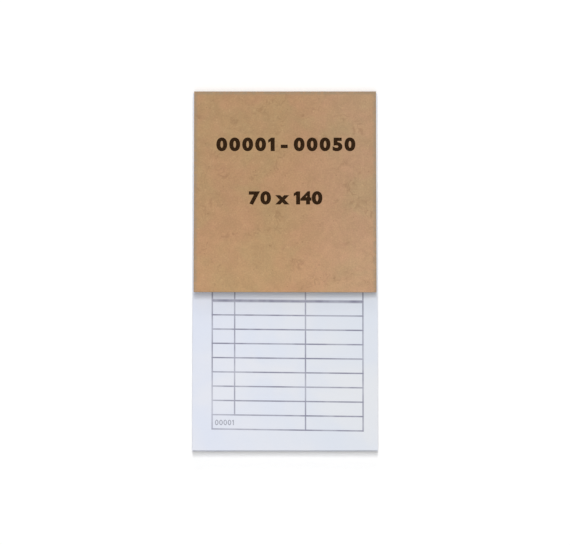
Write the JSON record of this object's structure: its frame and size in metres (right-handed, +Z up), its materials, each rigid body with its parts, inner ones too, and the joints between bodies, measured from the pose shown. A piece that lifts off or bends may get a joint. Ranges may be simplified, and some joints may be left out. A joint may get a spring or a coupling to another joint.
{
  "type": "order pad",
  "caption": "Slim upright writing pad: ruled leaves glued at the head inside a wrap-around kraft card cover with a short front flap that folds back.",
  "frame": {"origin": "on the underside of the cover, below the middle of the pad's length and width", "axes": "+X across the pad to the right of someone writing on it, +Y along the leaves to the bound head, +Z up from the cover's back to the flap"},
  "size_m": [0.0714, 0.14, 0.0086],
  "materials": {
    "kraft_card": "uncoated brown kraft card, matte, mottled, with dark flecks",
    "leaf_paper": "uncoated bluish white writing paper, matte, with a fine grey printed grid",
    "binding_glue": "clear padding glue, dried, slightly yellow, satin"
  },
  "bodies": {
    "root": {"cover_back": "kraft_card", "binding_glue": "binding_glue"},
    "leaf_01": {"leaf_01": "leaf_paper"},
    "leaf_02": {"leaf_02": "leaf_paper"},
    "leaf_03": {"leaf_03": "leaf_paper"},
    "leaf_04": {"leaf_04": "leaf_paper"},
    "leaf_05": {"leaf_05": "leaf_paper"},
    "leaf_06": {"leaf_06": "leaf_paper"},
    "leaf_07": {"leaf_07": "leaf_paper"},
    "leaf_08": {"leaf_08": "leaf_paper"},
    "leaf_09": {"leaf_09": "leaf_paper"},
    "leaf_10": {"leaf_10": "leaf_paper"},
    "leaf_11": {"leaf_11": "leaf_paper"},
    "leaf_12": {"leaf_12": "leaf_paper"},
    "leaf_13": {"leaf_13": "leaf_paper"},
    "leaf_14": {"leaf_14": "leaf_paper"},
    "leaf_15": {"leaf_15": "leaf_paper"},
    "leaf_16": {"leaf_16": "leaf_paper"},
    "leaf_17": {"leaf_17": "leaf_paper"},
    "leaf_18": {"leaf_18": "leaf_paper"},
    "leaf_19": {"leaf_19": "leaf_paper"},
    "leaf_20": {"leaf_20": "leaf_paper"},
    "leaf_21": {"leaf_21": "leaf_paper"},
    "leaf_22": {"leaf_22": "leaf_paper"},
    "leaf_23": {"leaf_23": "leaf_paper"},
    "leaf_24": {"leaf_24": "leaf_paper"},
    "leaf_25": {"leaf_25": "leaf_paper"},
    "leaf_26": {"leaf_26": "leaf_paper"},
    "leaf_27": {"leaf_27": "leaf_paper"},
    "leaf_28": {"leaf_28": "leaf_paper"},
    "leaf_29": {"leaf_29": "leaf_paper"},
    "leaf_30": {"leaf_30": "leaf_paper"},
    "leaf_31": {"leaf_31": "leaf_paper"},
    "leaf_32": {"leaf_32": "leaf_paper"},
    "leaf_33": {"leaf_33": "leaf_paper"},
    "leaf_34": {"leaf_34": "leaf_paper"},
    "leaf_35": {"leaf_35": "leaf_paper"},
    "leaf_36": {"leaf_36": "leaf_paper"},
    "leaf_37": {"leaf_37": "leaf_paper"},
    "leaf_38": {"leaf_38": "leaf_paper"},
    "leaf_39": {"leaf_39": "leaf_paper"},
    "leaf_40": {"leaf_40": "leaf_paper"},
    "leaf_41": {"leaf_41": "leaf_paper"},
    "leaf_42": {"leaf_42": "leaf_paper"},
    "leaf_43": {"leaf_43": "leaf_paper"},
    "leaf_44": {"leaf_44": "leaf_paper"},
    "leaf_45": {"leaf_45": "leaf_paper"},
    "leaf_46": {"leaf_46": "leaf_paper"},
    "leaf_47": {"leaf_47": "leaf_paper"},
    "leaf_48": {"leaf_48": "leaf_paper"},
    "leaf_49": {"leaf_49": "leaf_paper"},
    "leaf_50": {"leaf_50": "leaf_paper"},
    "flap": {"cover_flap": "kraft_card"}
  },
  "joints": [
    {"name": "flap_hinge", "type": "hinge", "parent": "leaf_01", "child": "flap", "pos_m": [0, 0.07, 0.00465], "axis": [-1, 0, 0], "range_deg": [0, 178]},
    {"name": "leaf_01_hinge", "type": "hinge", "parent": "leaf_02", "child": "leaf_01", "pos_m": [0, 0.07, 0.00465], "axis": [1, 0, 0], "range_deg": [-55, 0]},
    {"name": "leaf_02_hinge", "type": "hinge", "parent": "root", "child": "leaf_02", "pos_m": [0, 0.07, 0.00465], "axis": [1, 0, 0], "range_deg": [-30, 0]},
    {"name": "leaf_03_hinge", "type": "hinge", "parent": "root", "child": "leaf_03", "pos_m": [0, 0.07, 0.00465], "axis": [1, 0, 0], "range_deg": [-29.39, 0]},
    {"name": "leaf_04_hinge", "type": "hinge", "parent": "root", "child": "leaf_04", "pos_m": [0, 0.07, 0.00465], "axis": [1, 0, 0], "range_deg": [-28.78, 0]},
    {"name": "leaf_05_hinge", "type": "hinge", "parent": "root", "child": "leaf_05", "pos_m": [0, 0.07, 0.00465], "axis": [1, 0, 0], "range_deg": [-28.16, 0]},
    {"name": "leaf_06_hinge", "type": "hinge", "parent": "root", "child": "leaf_06", "pos_m": [0, 0.07, 0.00465], "axis": [1, 0, 0], "range_deg": [-27.55, 0]},
    {"name": "leaf_07_hinge", "type": "hinge", "parent": "root", "child": "leaf_07", "pos_m": [0, 0.07, 0.00465], "axis": [1, 0, 0], "range_deg": [-26.94, 0]},
    {"name": "leaf_08_hinge", "type": "hinge", "parent": "root", "child": "leaf_08", "pos_m": [0, 0.07, 0.00465], "axis": [1, 0, 0], "range_deg": [-26.33, 0]},
    {"name": "leaf_09_hinge", "type": "hinge", "parent": "root", "child": "leaf_09", "pos_m": [0, 0.07, 0.00465], "axis": [1, 0, 0], "range_deg": [-25.71, 0]},
    {"name": "leaf_10_hinge", "type": "hinge", "parent": "root", "child": "leaf_10", "pos_m": [0, 0.07, 0.00465], "axis": [1, 0, 0], "range_deg": [-25.1, 0]},
    {"name": "leaf_11_hinge", "type": "hinge", "parent": "root", "child": "leaf_11", "pos_m": [0, 0.07, 0.00465], "axis": [1, 0, 0], "range_deg": [-24.49, 0]},
    {"name": "leaf_12_hinge", "type": "hinge", "parent": "root", "child": "leaf_12", "pos_m": [0, 0.07, 0.00465], "axis": [1, 0, 0], "range_deg": [-23.88, 0]},
    {"name": "leaf_13_hinge", "type": "hinge", "parent": "root", "child": "leaf_13", "pos_m": [0, 0.07, 0.00465], "axis": [1, 0, 0], "range_deg": [-23.27, 0]},
    {"name": "leaf_14_hinge", "type": "hinge", "parent": "root", "child": "leaf_14", "pos_m": [0, 0.07, 0.00465], "axis": [1, 0, 0], "range_deg": [-22.65, 0]},
    {"name": "leaf_15_hinge", "type": "hinge", "parent": "root", "child": "leaf_15", "pos_m": [0, 0.07, 0.00465], "axis": [1, 0, 0], "range_deg": [-22.04, 0]},
    {"name": "leaf_16_hinge", "type": "hinge", "parent": "root", "child": "leaf_16", "pos_m": [0, 0.07, 0.00465], "axis": [1, 0, 0], "range_deg": [-21.43, 0]},
    {"name": "leaf_17_hinge", "type": "hinge", "parent": "root", "child": "leaf_17", "pos_m": [0, 0.07, 0.00465], "axis": [1, 0, 0], "range_deg": [-20.82, 0]},
    {"name": "leaf_18_hinge", "type": "hinge", "parent": "root", "child": "leaf_18", "pos_m": [0, 0.07, 0.00465], "axis": [1, 0, 0], "range_deg": [-20.2, 0]},
    {"name": "leaf_19_hinge", "type": "hinge", "parent": "root", "child": "leaf_19", "pos_m": [0, 0.07, 0.00465], "axis": [1, 0, 0], "range_deg": [-19.59, 0]},
    {"name": "leaf_20_hinge", "type": "hinge", "parent": "root", "child": "leaf_20", "pos_m": [0, 0.07, 0.00465], "axis": [1, 0, 0], "range_deg": [-18.98, 0]},
    {"name": "leaf_21_hinge", "type": "hinge", "parent": "root", "child": "leaf_21", "pos_m": [0, 0.07, 0.00465], "axis": [1, 0, 0], "range_deg": [-18.37, 0]},
    {"name": "leaf_22_hinge", "type": "hinge", "parent": "root", "child": "leaf_22", "pos_m": [0, 0.07, 0.00465], "axis": [1, 0, 0], "range_deg": [-17.76, 0]},
    {"name": "leaf_23_hinge", "type": "hinge", "parent": "root", "child": "leaf_23", "pos_m": [0, 0.07, 0.00465], "axis": [1, 0, 0], "range_deg": [-17.14, 0]},
    {"name": "leaf_24_hinge", "type": "hinge", "parent": "root", "child": "leaf_24", "pos_m": [0, 0.07, 0.00465], "axis": [1, 0, 0], "range_deg": [-16.53, 0]},
    {"name": "leaf_25_hinge", "type": "hinge", "parent": "root", "child": "leaf_25", "pos_m": [0, 0.07, 0.00465], "axis": [1, 0, 0], "range_deg": [-15.92, 0]},
    {"name": "leaf_26_hinge", "type": "hinge", "parent": "root", "child": "leaf_26", "pos_m": [0, 0.07, 0.00465], "axis": [1, 0, 0], "range_deg": [-15.31, 0]},
    {"name": "leaf_27_hinge", "type": "hinge", "parent": "root", "child": "leaf_27", "pos_m": [0, 0.07, 0.00465], "axis": [1, 0, 0], "range_deg": [-14.69, 0]},
    {"name": "leaf_28_hinge", "type": "hinge", "parent": "root", "child": "leaf_28", "pos_m": [0, 0.07, 0.00465], "axis": [1, 0, 0], "range_deg": [-14.08, 0]},
    {"name": "leaf_29_hinge", "type": "hinge", "parent": "root", "child": "leaf_29", "pos_m": [0, 0.07, 0.00465], "axis": [1, 0, 0], "range_deg": [-13.47, 0]},
    {"name": "leaf_30_hinge", "type": "hinge", "parent": "root", "child": "leaf_30", "pos_m": [0, 0.07, 0.00465], "axis": [1, 0, 0], "range_deg": [-12.86, 0]},
    {"name": "leaf_31_hinge", "type": "hinge", "parent": "root", "child": "leaf_31", "pos_m": [0, 0.07, 0.00465], "axis": [1, 0, 0], "range_deg": [-12.24, 0]},
    {"name": "leaf_32_hinge", "type": "hinge", "parent": "root", "child": "leaf_32", "pos_m": [0, 0.07, 0.00465], "axis": [1, 0, 0], "range_deg": [-11.63, 0]},
    {"name": "leaf_33_hinge", "type": "hinge", "parent": "root", "child": "leaf_33", "pos_m": [0, 0.07, 0.00465], "axis": [1, 0, 0], "range_deg": [-11.02, 0]},
    {"name": "leaf_34_hinge", "type": "hinge", "parent": "root", "child": "leaf_34", "pos_m": [0, 0.07, 0.00465], "axis": [1, 0, 0], "range_deg": [-10.41, 0]},
    {"name": "leaf_35_hinge", "type": "hinge", "parent": "root", "child": "leaf_35", "pos_m": [0, 0.07, 0.00465], "axis": [1, 0, 0], "range_deg": [-9.8, 0]},
    {"name": "leaf_36_hinge", "type": "hinge", "parent": "root", "child": "leaf_36", "pos_m": [0, 0.07, 0.00465], "axis": [1, 0, 0], "range_deg": [-9.18, 0]},
    {"name": "leaf_37_hinge", "type": "hinge", "parent": "root", "child": "leaf_37", "pos_m": [0, 0.07, 0.00465], "axis": [1, 0, 0], "range_deg": [-8.57, 0]},
    {"name": "leaf_38_hinge", "type": "hinge", "parent": "root", "child": "leaf_38", "pos_m": [0, 0.07, 0.00465], "axis": [1, 0, 0], "range_deg": [-7.96, 0]},
    {"name": "leaf_39_hinge", "type": "hinge", "parent": "root", "child": "leaf_39", "pos_m": [0, 0.07, 0.00465], "axis": [1, 0, 0], "range_deg": [-7.35, 0]},
    {"name": "leaf_40_hinge", "type": "hinge", "parent": "root", "child": "leaf_40", "pos_m": [0, 0.07, 0.00465], "axis": [1, 0, 0], "range_deg": [-6.73, 0]},
    {"name": "leaf_41_hinge", "type": "hinge", "parent": "root", "child": "leaf_41", "pos_m": [0, 0.07, 0.00465], "axis": [1, 0, 0], "range_deg": [-6.12, 0]},
    {"name": "leaf_42_hinge", "type": "hinge", "parent": "root", "child": "leaf_42", "pos_m": [0, 0.07, 0.00465], "axis": [1, 0, 0], "range_deg": [-5.51, 0]},
    {"name": "leaf_43_hinge", "type": "hinge", "parent": "root", "child": "leaf_43", "pos_m": [0, 0.07, 0.00465], "axis": [1, 0, 0], "range_deg": [-4.9, 0]},
    {"name": "leaf_44_hinge", "type": "hinge", "parent": "root", "child": "leaf_44", "pos_m": [0, 0.07, 0.00465], "axis": [1, 0, 0], "range_deg": [-4.29, 0]},
    {"name": "leaf_45_hinge", "type": "hinge", "parent": "root", "child": "leaf_45", "pos_m": [0, 0.07, 0.00465], "axis": [1, 0, 0], "range_deg": [-3.67, 0]},
    {"name": "leaf_46_hinge", "type": "hinge", "parent": "root", "child": "leaf_46", "pos_m": [0, 0.07, 0.00465], "axis": [1, 0, 0], "range_deg": [-3.06, 0]},
    {"name": "leaf_47_hinge", "type": "hinge", "parent": "root", "child": "leaf_47", "pos_m": [0, 0.07, 0.00465], "axis": [1, 0, 0], "range_deg": [-2.45, 0]},
    {"name": "leaf_48_hinge", "type": "hinge", "parent": "root", "child": "leaf_48", "pos_m": [0, 0.07, 0.00465], "axis": [1, 0, 0], "range_deg": [-1.84, 0]},
    {"name": "leaf_49_hinge", "type": "hinge", "parent": "root", "child": "leaf_49", "pos_m": [0, 0.07, 0.00465], "axis": [1, 0, 0], "range_deg": [-1.22, 0]},
    {"name": "leaf_50_hinge", "type": "hinge", "parent": "root", "child": "leaf_50", "pos_m": [0, 0.07, 0.00465], "axis": [1, 0, 0], "range_deg": [-0.6122, 0]}
  ],
  "couplings": [
    {"joint": "leaf_03_hinge", "follows": "leaf_02_hinge", "ratio": 0.97959},
    {"joint": "leaf_04_hinge", "follows": "leaf_02_hinge", "ratio": 0.95918},
    {"joint": "leaf_05_hinge", "follows": "leaf_02_hinge", "ratio": 0.93878},
    {"joint": "leaf_06_hinge", "follows": "leaf_02_hinge", "ratio": 0.91837},
    {"joint": "leaf_07_hinge", "follows": "leaf_02_hinge", "ratio": 0.89796},
    {"joint": "leaf_08_hinge", "follows": "leaf_02_hinge", "ratio": 0.87755},
    {"joint": "leaf_09_hinge", "follows": "leaf_02_hinge", "ratio": 0.85714},
    {"joint": "leaf_10_hinge", "follows": "leaf_02_hinge", "ratio": 0.83674},
    {"joint": "leaf_11_hinge", "follows": "leaf_02_hinge", "ratio": 0.81633},
    {"joint": "leaf_12_hinge", "follows": "leaf_02_hinge", "ratio": 0.79592},
    {"joint": "leaf_13_hinge", "follows": "leaf_02_hinge", "ratio": 0.77551},
    {"joint": "leaf_14_hinge", "follows": "leaf_02_hinge", "ratio": 0.7551},
    {"joint": "leaf_15_hinge", "follows": "leaf_02_hinge", "ratio": 0.73469},
    {"joint": "leaf_16_hinge", "follows": "leaf_02_hinge", "ratio": 0.71429},
    {"joint": "leaf_17_hinge", "follows": "leaf_02_hinge", "ratio": 0.69388},
    {"joint": "leaf_18_hinge", "follows": "leaf_02_hinge", "ratio": 0.67347},
    {"joint": "leaf_19_hinge", "follows": "leaf_02_hinge", "ratio": 0.65306},
    {"joint": "leaf_20_hinge", "follows": "leaf_02_hinge", "ratio": 0.63265},
    {"joint": "leaf_21_hinge", "follows": "leaf_02_hinge", "ratio": 0.61225},
    {"joint": "leaf_22_hinge", "follows": "leaf_02_hinge", "ratio": 0.59184},
    {"joint": "leaf_23_hinge", "follows": "leaf_02_hinge", "ratio": 0.57143},
    {"joint": "leaf_24_hinge", "follows": "leaf_02_hinge", "ratio": 0.55102},
    {"joint": "leaf_25_hinge", "follows": "leaf_02_hinge", "ratio": 0.53061},
    {"joint": "leaf_26_hinge", "follows": "leaf_02_hinge", "ratio": 0.5102},
    {"joint": "leaf_27_hinge", "follows": "leaf_02_hinge", "ratio": 0.4898},
    {"joint": "leaf_28_hinge", "follows": "leaf_02_hinge", "ratio": 0.46939},
    {"joint": "leaf_29_hinge", "follows": "leaf_02_hinge", "ratio": 0.44898},
    {"joint": "leaf_30_hinge", "follows": "leaf_02_hinge", "ratio": 0.42857},
    {"joint": "leaf_31_hinge", "follows": "leaf_02_hinge", "ratio": 0.40816},
    {"joint": "leaf_32_hinge", "follows": "leaf_02_hinge", "ratio": 0.38776},
    {"joint": "leaf_33_hinge", "follows": "leaf_02_hinge", "ratio": 0.36735},
    {"joint": "leaf_34_hinge", "follows": "leaf_02_hinge", "ratio": 0.34694},
    {"joint": "leaf_35_hinge", "follows": "leaf_02_hinge", "ratio": 0.32653},
    {"joint": "leaf_36_hinge", "follows": "leaf_02_hinge", "ratio": 0.30612},
    {"joint": "leaf_37_hinge", "follows": "leaf_02_hinge", "ratio": 0.28571},
    {"joint": "leaf_38_hinge", "follows": "leaf_02_hinge", "ratio": 0.26531},
    {"joint": "leaf_39_hinge", "follows": "leaf_02_hinge", "ratio": 0.2449},
    {"joint": "leaf_40_hinge", "follows": "leaf_02_hinge", "ratio": 0.22449},
    {"joint": "leaf_41_hinge", "follows": "leaf_02_hinge", "ratio": 0.20408},
    {"joint": "leaf_42_hinge", "follows": "leaf_02_hinge", "ratio": 0.18367},
    {"joint": "leaf_43_hinge", "follows": "leaf_02_hinge", "ratio": 0.16326},
    {"joint": "leaf_44_hinge", "follows": "leaf_02_hinge", "ratio": 0.14286},
    {"joint": "leaf_45_hinge", "follows": "leaf_02_hinge", "ratio": 0.12245},
    {"joint": "leaf_46_hinge", "follows": "leaf_02_hinge", "ratio": 0.10204},
    {"joint": "leaf_47_hinge", "follows": "leaf_02_hinge", "ratio": 0.081633},
    {"joint": "leaf_48_hinge", "follows": "leaf_02_hinge", "ratio": 0.061224},
    {"joint": "leaf_49_hinge", "follows": "leaf_02_hinge", "ratio": 0.040816},
    {"joint": "leaf_50_hinge", "follows": "leaf_02_hinge", "ratio": 0.020408}
  ]
}
